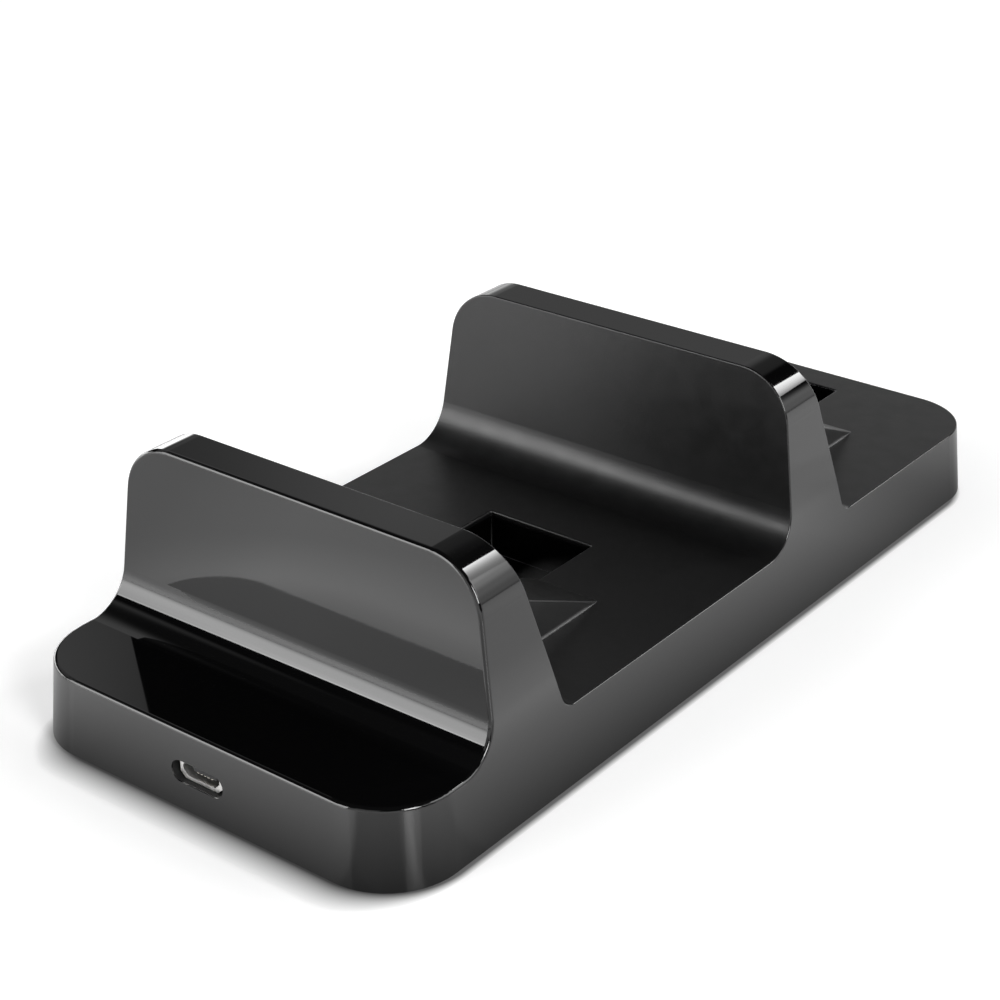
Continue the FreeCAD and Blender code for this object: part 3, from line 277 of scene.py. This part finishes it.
def housing_plastic():
    """Black plastic, polished outside and satin in the bays, with painted shade darkening the
    recesses and edges lightened by wear and a painted sheen.
    """
    material, tree, shader = new_material("housing_black")
    outside = gloss_share(tree)
    recess, pocket = recess_share(tree), pocket_share(tree)
    shader.inputs["IOR"].default_value = PLASTIC_IOR
    colour = blended_colour(tree, outside, SATIN_BLACK, BLACK)
    # Painted shade darkens the plug recesses and the inlet pocket.
    colour = blended_colour(tree, sums(tree, "MAXIMUM", recess, pocket), colour, RECESS_SHADE_BLACK)
    # Lighter edges: partly wear, partly a painted sheen.
    colour = blended_colour(tree, wear_and_sheen_share(tree, outside), colour, WORN_AND_SHEEN)
    feed(tree, shader.inputs["Base Color"], colour)
    polished = spread(tree, noise(tree, SMEARS, detail=3.0), *POLISHED_ROUGH)
    rough = blended(tree, outside, varied(tree, SATIN_PATCHES, *SATIN_ROUGH), polished)
    rough = blended(tree, recess, rough, RECESS_ROUGH)
    feed(tree, shader.inputs["Roughness"], blended(tree, pocket, rough, POCKET_ROUGH))
    grain = noise(tree, SATIN_GRAIN, *GRAIN)
    grain = sums(tree, "MULTIPLY", grain, sums(tree, "SUBTRACT", 1.0, outside))
    relief = bump(tree, grain, SATIN_DEPTH)
    relief = bump(tree, noise(tree, WAVES, detail=1.0), WAVE_DEPTH, relief)
    feed(tree, shader.inputs["Normal"], relief)
    return material


def darkened(colour, share):
    return tuple(part * share for part in colour[:3]) + (1,)


PLASTIC_PATCHES = 12 * MM
PLASTIC_DARKER = 0.75
PLASTIC_DRIFT = 0.05
ROUGH_PATCHES = 2 * MM


def textured_plastic(name, colour, rough, grain_size, depth):
    """Moulded plastic with a fine spark-eroded grain."""
    material, tree, shader = new_material(name)
    shader.inputs["IOR"].default_value = PLASTIC_IOR
    patches = noise(tree, PLASTIC_PATCHES)
    mottled = blended_colour(tree, patches, darkened(colour, PLASTIC_DARKER), colour)
    feed(tree, shader.inputs["Base Color"], mottled)
    uneven = varied(tree, ROUGH_PATCHES, rough - PLASTIC_DRIFT, rough + PLASTIC_DRIFT)
    feed(tree, shader.inputs["Roughness"], uneven)
    feed(tree, shader.inputs["Normal"], bump(tree, noise(tree, grain_size, *GRAIN), depth))
    return material


TARNISH_PATCHES = 1.5 * MM
METAL_DARKER = 0.8
METAL_PATCHES = 0.6 * MM
METAL_SMOOTHER, METAL_ROUGHER = 0.06, 0.08
BRUSH_LINES = 0.25 * MM
BRUSH_STRETCH = (1.0, 0.15, 1.0)
BRUSH_DEPTH = 0.002 * MM


def metal(name, colour, rough):
    """Plated metal with fine lines along the dock."""
    material, tree, shader = new_material(name)
    shader.inputs["Metallic"].default_value = 1.0
    patches = noise(tree, TARNISH_PATCHES, detail=3.0)
    tarnished = blended_colour(tree, patches, darkened(colour, METAL_DARKER), colour)
    feed(tree, shader.inputs["Base Color"], tarnished)
    uneven = varied(tree, METAL_PATCHES, rough - METAL_SMOOTHER, rough + METAL_ROUGHER)
    feed(tree, shader.inputs["Roughness"], uneven)
    brushed = noise(tree, BRUSH_LINES, stretch=BRUSH_STRETCH)
    feed(tree, shader.inputs["Normal"], bump(tree, brushed, BRUSH_DEPTH))
    return material


TRACK_SCALE = 160.0
TRACK_DEPTH = 0.02 * MM
MASK_ROUGH = (0.25, 0.35)
MASK_TONES = {
    "Color1": (0.008, 0.075, 0.028, 1),
    "Color2": (0.006, 0.060, 0.022, 1),
    "Mortar": (0.020, 0.130, 0.050, 1),
}


def board_mask():
    """Green solder mask with faint tracks under it."""
    material, tree, shader = new_material("board_green")
    tracks = put(tree, "ShaderNodeTexBrick")
    feed(tree, tracks.inputs["Vector"], place(tree))
    tracks.inputs["Scale"].default_value = TRACK_SCALE
    for socket, tone in MASK_TONES.items():
        tracks.inputs[socket].default_value = tone
    feed(tree, shader.inputs["Base Color"], tracks.outputs[0])
    feed(tree, shader.inputs["Roughness"], varied(tree, ROUGH_PATCHES, *MASK_ROUGH, detail=2.0))
    feed(tree, shader.inputs["Normal"], bump(tree, tracks.outputs[1], TRACK_DEPTH))
    return material


HOUSING = housing_plastic()
COVER = textured_plastic("cover_black", (0.012, 0.012, 0.012, 1), 0.5, 0.3 * MM, 0.02 * MM)
RUBBER = textured_plastic("foot_rubber", (0.022, 0.021, 0.020, 1), 0.8, 0.15 * MM, 0.02 * MM)
CARRIER = textured_plastic("carrier_black", (0.012, 0.012, 0.013, 1), 0.45, 0.2 * MM, 0.01 * MM)
CHIP = textured_plastic("chip_black", (0.018, 0.018, 0.018, 1), 0.6, 0.1 * MM, 0.005 * MM)
FUSE = textured_plastic("fuse_green", (0.02, 0.09, 0.05, 1), 0.5, 0.2 * MM, 0.01 * MM)
RED = textured_plastic("lead_red", (0.36, 0.015, 0.012, 1), 0.4, 0.4 * MM, 0.005 * MM)
DARK = textured_plastic("lead_black", (0.015, 0.015, 0.015, 1), 0.4, 0.4 * MM, 0.005 * MM)
NICKEL = metal("nickel_plate", (0.74, 0.72, 0.68, 1), 0.22)
ZINC = metal("zinc_plate", (0.62, 0.63, 0.65, 1), 0.32)
CONTACT = metal("contact_plate", (0.42, 0.40, 0.36, 1), 0.3)
GOLD = metal("pale_gold_plate", (0.80, 0.74, 0.60, 1), 0.25)
# Nickel plate of the inlet shell, painted paler than the plug shells' nickel to stand in for light
# on the inlet's inner floor.
NICKEL_PAINTED_PALER = metal("nickel_plate_painted_paler", (0.92, 0.91, 0.89, 1), 0.34)
ALUMINIUM = metal("aluminium_can", (0.70, 0.71, 0.72, 1), 0.3)
BOARD = board_mask()

# The first of these words that is in a node's name gives its material.
FINISHES = {
    "top_housing": HOUSING,
    "bottom_cover": COVER,
    "rubber_foot": RUBBER,
    "cover_screws": ZINC,
    "board_screws": ZINC,
    "inlet_board": BOARD,
    "plug_board": BOARD,
    "inlet_shell": NICKEL_PAINTED_PALER,
    "plug_shell": NICKEL,
    "inlet_contacts": CONTACT,
    "contacts": GOLD,
    "insulator": CARRIER,
    "plug_body": CARRIER,
    "charge_controller": CHIP,
    "input_capacitor": ALUMINIUM,
    "resettable_fuse": FUSE,
    "chip_resistors": CHIP,
    "lead_positive": RED,
    "lead_negative": DARK,
}


def dress():
    for name, thing in NODES.items():
        finish = next(material for word, material in FINISHES.items() if word in name)
        for slot in thing.material_slots:
            slot.material = finish
        if not thing.material_slots:
            thing.data.materials.append(finish)


dress()


# Table

TABLE_HALF = 6.0
TABLE_BLACK = (0, 0, 0, 1)
TABLE_WHITE = (0.86, 0.86, 0.86, 1)
TABLE_IOR = 1.5
TABLE_GLOSS = 0.1
TABLE_ROUGH = (0.0, 1.0, 0.15, 0.6)  # as the dock mirrors it, and as the camera sees it
TABLE_GLOW = 0.4
GLOW_WHITE = (1, 1, 1, 1)
CORNER = 13 * MM  # radius of the dock's upright corners

# Painted shade for the light that reaches the table, and how brightly its painted glow shows in the
# dock's own faces, by the distance from the dock's foot or by x or y.
FOOT_LIGHT = (-4 * MM, 30 * MM, 0.2, 1.0)
GLOW_RISE = (0.0, 27 * MM, 0.3, 3.1)
GLOW_FALL = (27 * MM, 45 * MM, 1.0, 0.42)
GLOW_RIGHT = (20 * MM, 36 * MM, 1.0, 0.78)
GLOW_LEFT = (-26 * MM, 4 * MM, 0.15, 1.0)
LEFT_SLANT = 0.5
FAR = (30 * MM, 50 * MM)
REAR_FAR, REAR_FAR_DEPTH = (10 * MM, 70 * MM), -0.5
REAR_NEAR, REAR_NEAR_DEPTH = (50 * MM, 76 * MM), 0.6

# Sectors of painted shade in the table's glow, about the middle of the dock's front right corner:
# degrees, and how much darker.
SECTOR_FADE = (90 * MM, 250 * MM, 1.0, 0.0)
CORNER_SECTOR, CORNER_DEPTH = (-84, -36), 0.75
SIDE_SECTOR, SIDE_DEPTH = (-36, 22), 0.35
STRIP_SECTOR, STRIP_DEPTH = (-31, -25), -1.8

# The dock's shadow as the camera sees it, painted into the table's colour and glow. The reach and
# the lowest value are those on the sides and those at the front.
SHADE_AHEAD = (-12 * MM, 6 * MM)
SHADE_ACROSS = (28 * MM, 60 * MM, 1.0, 0.0)
SHADE_REACH = (1.0 * MM, 5.0 * MM)
SHADE_LOWEST = (0.15, 0.04)
SHADE_START = -0.15
WIDE_DEPTH = 0.15
WIDE_FADE = (0.0, 45 * MM, 1.0, 0.0)


def from_dock(tree):
    """Distance on the table from the outline of the dock, a rectangle with round corners."""
    x, y, _ = axes(tree, place(tree))
    past_x = sums(tree, "SUBTRACT", sums(tree, "ABSOLUTE", x), HALF_WIDTH - CORNER)
    past_y = sums(tree, "SUBTRACT", sums(tree, "ABSOLUTE", y), HALF_LENGTH - CORNER)
    past_x = sums(tree, "MAXIMUM", past_x, 0.0)
    past_y = sums(tree, "MAXIMUM", past_y, 0.0)
    squares = (sums(tree, "MULTIPLY", past, past) for past in (past_x, past_y))
    return sums(tree, "SUBTRACT", sums(tree, "SQRT", sums(tree, "ADD", *squares)), CORNER)


def about_corner(tree, x, y):
    """The angle of a place about the middle of the front right corner, anticlockwise from +X."""
    forward = sums(tree, "ADD", y, HALF_LENGTH - CORNER)
    return sums(tree, "ARCTAN2", forward, sums(tree, "SUBTRACT", x, HALF_WIDTH - CORNER))


def mirrored_glow(tree, away):
    """How brightly the table's painted glow shows in the dock's own faces, as painted light and
    shade for them to mirror.

    It is least at the dock's foot and off its front right corner."""
    x, y, _ = axes(tree, place(tree))
    rise = spread(tree, away, *GLOW_RISE)
    fall = spread(tree, away, *GLOW_FALL)
    turn = about_corner(tree, x, y)
    fade = spread(tree, away, *SECTOR_FADE)
    corner = sums(tree, "MULTIPLY", window(tree, turn, *CORNER_SECTOR), fade)
    side = sums(tree, "MULTIPLY", window(tree, turn, *SIDE_SECTOR), fade)
    strip = window(tree, turn, *STRIP_SECTOR)
    right = spread(tree, x, *GLOW_RIGHT)
    slant = sums(tree, "SUBTRACT", x, sums(tree, "MULTIPLY", y, LEFT_SLANT))
    left = spread(tree, slant, *GLOW_LEFT)
    far = spread(tree, away, *FAR)
    near = sums(tree, "SUBTRACT", 1.0, far)
    rear_far = sums(tree, "MULTIPLY", far, spread(tree, y, *REAR_FAR))
    rear_near = sums(tree, "MULTIPLY", near, spread(tree, y, *REAR_NEAR))
    return joined(
        tree, "MULTIPLY", rise, fall,
        less(tree, corner, CORNER_DEPTH), less(tree, side, SIDE_DEPTH),
        less(tree, strip, STRIP_DEPTH), right, left,
        less(tree, rear_far, REAR_FAR_DEPTH), less(tree, rear_near, REAR_NEAR_DEPTH),
    )


def contact_shade(tree, away):
    """A painted shadow round the dock's foot: a thin line on the sides, wider and softer at the
    front.
    """
    x, y, _ = axes(tree, place(tree))
    ahead = spread(tree, sums(tree, "SUBTRACT", -HALF_LENGTH, y), *SHADE_AHEAD, smooth=True)
    across = spread(tree, sums(tree, "ABSOLUTE", x), *SHADE_ACROSS)
    ahead = sums(tree, "MULTIPLY", ahead, across)
    reach = spread(tree, ahead, 0.0, 1.0, *SHADE_REACH)
    lowest = spread(tree, ahead, 0.0, 1.0, *SHADE_LOWEST)
    close = spread(tree, sums(tree, "DIVIDE", away, reach), SHADE_START, 1.0, lowest, 1.0)
    right = spread(tree, x, -HALF_WIDTH, HALF_WIDTH)
    depths = (sums(tree, "MULTIPLY", share, WIDE_DEPTH) for share in (ahead, right))
    wide = sums(tree, "MAXIMUM", *depths)
    wide = sums(tree, "MULTIPLY", wide, spread(tree, away, *WIDE_FADE))
    return sums(tree, "MULTIPLY", close, sums(tree, "SUBTRACT", 1.0, wide))


def table_white():
    """White to the camera but for the dock's painted shadow, and brighter or darker in the dock's
    faces through a painted glow.
    """
    material, tree, shader = new_material("table_white")
    away = from_dock(tree)
    ray = put(tree, "ShaderNodeLightPath")
    camera_ray = ray.outputs["Is Camera Ray"]
    shade = contact_shade(tree, away)
    # Painted shade: the table's colour and gloss are darker near the dock's foot, and for the
    # camera they carry the painted shadow.
    painted_shade = blended(tree, camera_ray, spread(tree, away, *FOOT_LIGHT), shade)
    feed(tree, shader.inputs["Base Color"], blended_colour(tree, painted_shade, TABLE_BLACK, TABLE_WHITE))
    shader.inputs["IOR"].default_value = TABLE_IOR
    feed(tree, shader.inputs["Specular IOR Level"], sums(tree, "MULTIPLY", painted_shade, TABLE_GLOSS))
    feed(tree, shader.inputs["Roughness"], spread(tree, camera_ray, *TABLE_ROUGH))
    mirrored, passed = ray.outputs["Is Glossy Ray"], ray.outputs["Is Transmission Ray"]
    seen = joined(tree, "MAXIMUM", camera_ray, mirrored, passed)
    # Painted light and shade: the table glows for the camera and for mirrored rays, though it is no
    # lamp.
    glow = blended(tree, camera_ray, mirrored_glow(tree, away), shade)
    shader.inputs["Emission Color"].default_value = GLOW_WHITE
    feed(tree, shader.inputs["Emission Strength"], joined(tree, "MULTIPLY", seen, TABLE_GLOW, glow))
    return material


def table():
    mesh = bpy.data.meshes.new("table")
    near, far = -TABLE_HALF, TABLE_HALF
    corners = [(near, near, 0), (far, near, 0), (far, far, 0), (near, far, 0)]
    mesh.from_pydata(corners, [], [(0, 1, 2, 3)])
    thing = bpy.data.objects.new("table", mesh)
    bpy.context.scene.collection.objects.link(thing)
    thing.data.materials.append(table_white())


table()


# Lamps

MIDDLE = Vector((0.0, 0.0, 0.02))
LAMP_STEP = 3.0


def direction(azimuth, elevation):
    """A direction from degrees: azimuth anticlockwise from +X, elevation above the table."""
    a, e = math.radians(azimuth), math.radians(elevation)
    return Vector((math.cos(e) * math.cos(a), math.cos(e) * math.sin(a), math.sin(e)))


def between(knots, at):
    """The value at a place on a broken line of (place, value) knots."""
    for (first, low), (last, high) in zip(knots, knots[1:]):
        if at <= last:
            break
    share = min(max((at - first) / (last - first), 0.0), 1.0)
    return low + (high - low) * share


def lamp_white(name):
    """Glows as strongly as each point's glow says."""
    material = bpy.data.materials.new(name)
    material.use_nodes = True
    tree = material.node_tree
    tree.nodes.clear()
    emission = put(tree, "ShaderNodeEmission")
    glow = put(tree, "ShaderNodeAttribute", attribute_name="glow")
    feed(tree, emission.inputs["Strength"], glow.outputs["Fac"])
    output = put(tree, "ShaderNodeOutputMaterial")
    feed(tree, output.inputs["Surface"], emission.outputs[0])
    return material


def lamp(name, distance, across, upward):
    """A glowing panel on a sphere about the dock.

    across and upward are (degrees, strength) knots over its azimuth and its elevation."""
    wide, high = across[-1][0] - across[0][0], upward[-1][0] - upward[0][0]
    columns, rows = math.ceil(wide / LAMP_STEP), math.ceil(high / LAMP_STEP)
    points, glows, faces = [], [], []
    for i in range(columns + 1):
        for j in range(rows + 1):
            azimuth = across[0][0] + wide * i / columns
            elevation = upward[0][0] + high * j / rows
            points.append(MIDDLE + direction(azimuth, elevation) * distance)
            glows.append(between(across, azimuth) * between(upward, elevation))
    for i in range(columns):
        for j in range(rows):
            n = i * (rows + 1) + j
            faces.append((n, n + 1, n + rows + 2, n + rows + 1))
    mesh = bpy.data.meshes.new(name)
    mesh.from_pydata(points, [], faces)
    mesh.attributes.new("glow", "FLOAT", "POINT").data.foreach_set("value", glows)
    thing = bpy.data.objects.new(name, mesh)
    bpy.context.scene.collection.objects.link(thing)
    mesh.materials.append(lamp_white(name))
    thing.visible_camera = False


lamp(
    "lamp_front_left", 1.3,
    ((-145, 0.6), (-137, 0.75), (-131, 1.0), (-98, 1.0)),
    ((-1, 2.5), (2, 5.0), (6, 7.0), (20, 7.4), (22, 8.0), (26, 8.0), (29, 12.0)),
)
lamp(
    "lamp_back_right", 1.4,
    ((50, 2.5), (54, 3.5), (58, 6.5), (62, 11.0), (67, 15.0)),
    ((21, 0.6), (25, 1.0), (43, 1.0), (48, 1.4)),
)
lamp(
    "lamp_right", 1.2,
    ((-32, 13.0), (-24.5, 14.0), (-23.5, 21.0), (-20, 21.0), (-19, 14.0), (-12, 13.0)),
    ((12, 1.0), (36, 1.0)),
)


# Surroundings

# Each row: azimuth from and to, elevation from and to, in degrees as for lamps, and strength.
PATCHES = (
    ((-98, -60), (0, 18), 1.3),
    ((-98, -60), (18, 45), 0.8),
    ((-60, -30), (0, 18), 1.4),
    ((-30, 10), (18, 28), 3.4),
    ((10, 54), (0, 10), 1.1),
    ((10, 54), (10, 20), 1.6),
    ((10, 54), (20, 28), 2.9),
    ((10, 54), (28, 45), 4.8),
    ((54, 90), (0, 14), 1.3),
    ((90, 140), (0, 10), 1.4),
    ((90, 140), (10, 18), 0.5),
    ((90, 132), (18, 24), 0.3),
    ((90, 134), (24, 30), 0.45),
    ((132, 150), (18, 30), 0.2),
    ((90, 150), (30, 45), 0.16),
    ((140, 190), (0, 10), 6.0),
    ((-190, -150), (0, 10), 6.0),
    ((140, 190), (28, 45), 0.4),
    ((-190, -150), (28, 45), 0.4),
    ((-190, 190), (45, 95), 0.03),
)


def surroundings():
    """The walls and ceiling of the room, as soft patches by azimuth and elevation."""
    world = bpy.data.worlds.new("surroundings")
    bpy.context.scene.world = world
    world.use_nodes = True
    tree = world.node_tree
    x, y, z = axes(tree, put(tree, "ShaderNodeTexCoord").outputs["Generated"])
    azimuth = sums(tree, "ARCTAN2", y, x)
    elevation = sums(tree, "ARCSINE", z)
    patches = []
    for sides, heights, strength in PATCHES:
        across, upward = window(tree, azimuth, *sides), window(tree, elevation, *heights)
        patches.append(joined(tree, "MULTIPLY", across, upward, strength))
    background = tree.nodes["Background"]
    background.inputs["Color"].default_value = GLOW_WHITE
    feed(tree, background.inputs["Strength"], joined(tree, "ADD", *patches))


surroundings()


# Camera, fitted to the straight edges in the photo: radians, and millimetres for the lens

CAMERA_PLACE = (0.189126, -0.251813, 0.175381)
CAMERA_YAW = 0.668815
CAMERA_PITCH = 0.465365
CAMERA_ROLL = 0.010470
CAMERA_LENS = 79.569
CAMERA_SENSOR = 36
CAMERA_CLIP = (0.01, 100)


def camera():
    data = bpy.data.cameras.new("camera")
    data.lens = CAMERA_LENS
    data.sensor_width = CAMERA_SENSOR
    data.clip_start, data.clip_end = CAMERA_CLIP
    thing = bpy.data.objects.new("camera", data)
    bpy.context.scene.collection.objects.link(thing)
    turn = Matrix.Rotation(CAMERA_YAW, 4, "Z")
    turn = turn @ Matrix.Rotation(math.pi / 2 - CAMERA_PITCH, 4, "X")
    turn = turn @ Matrix.Rotation(-CAMERA_ROLL, 4, "Z")
    thing.matrix_world = Matrix.Translation(CAMERA_PLACE) @ turn
    bpy.context.scene.camera = thing


camera()
bpy.context.scene.view_settings.view_transform = "Standard"
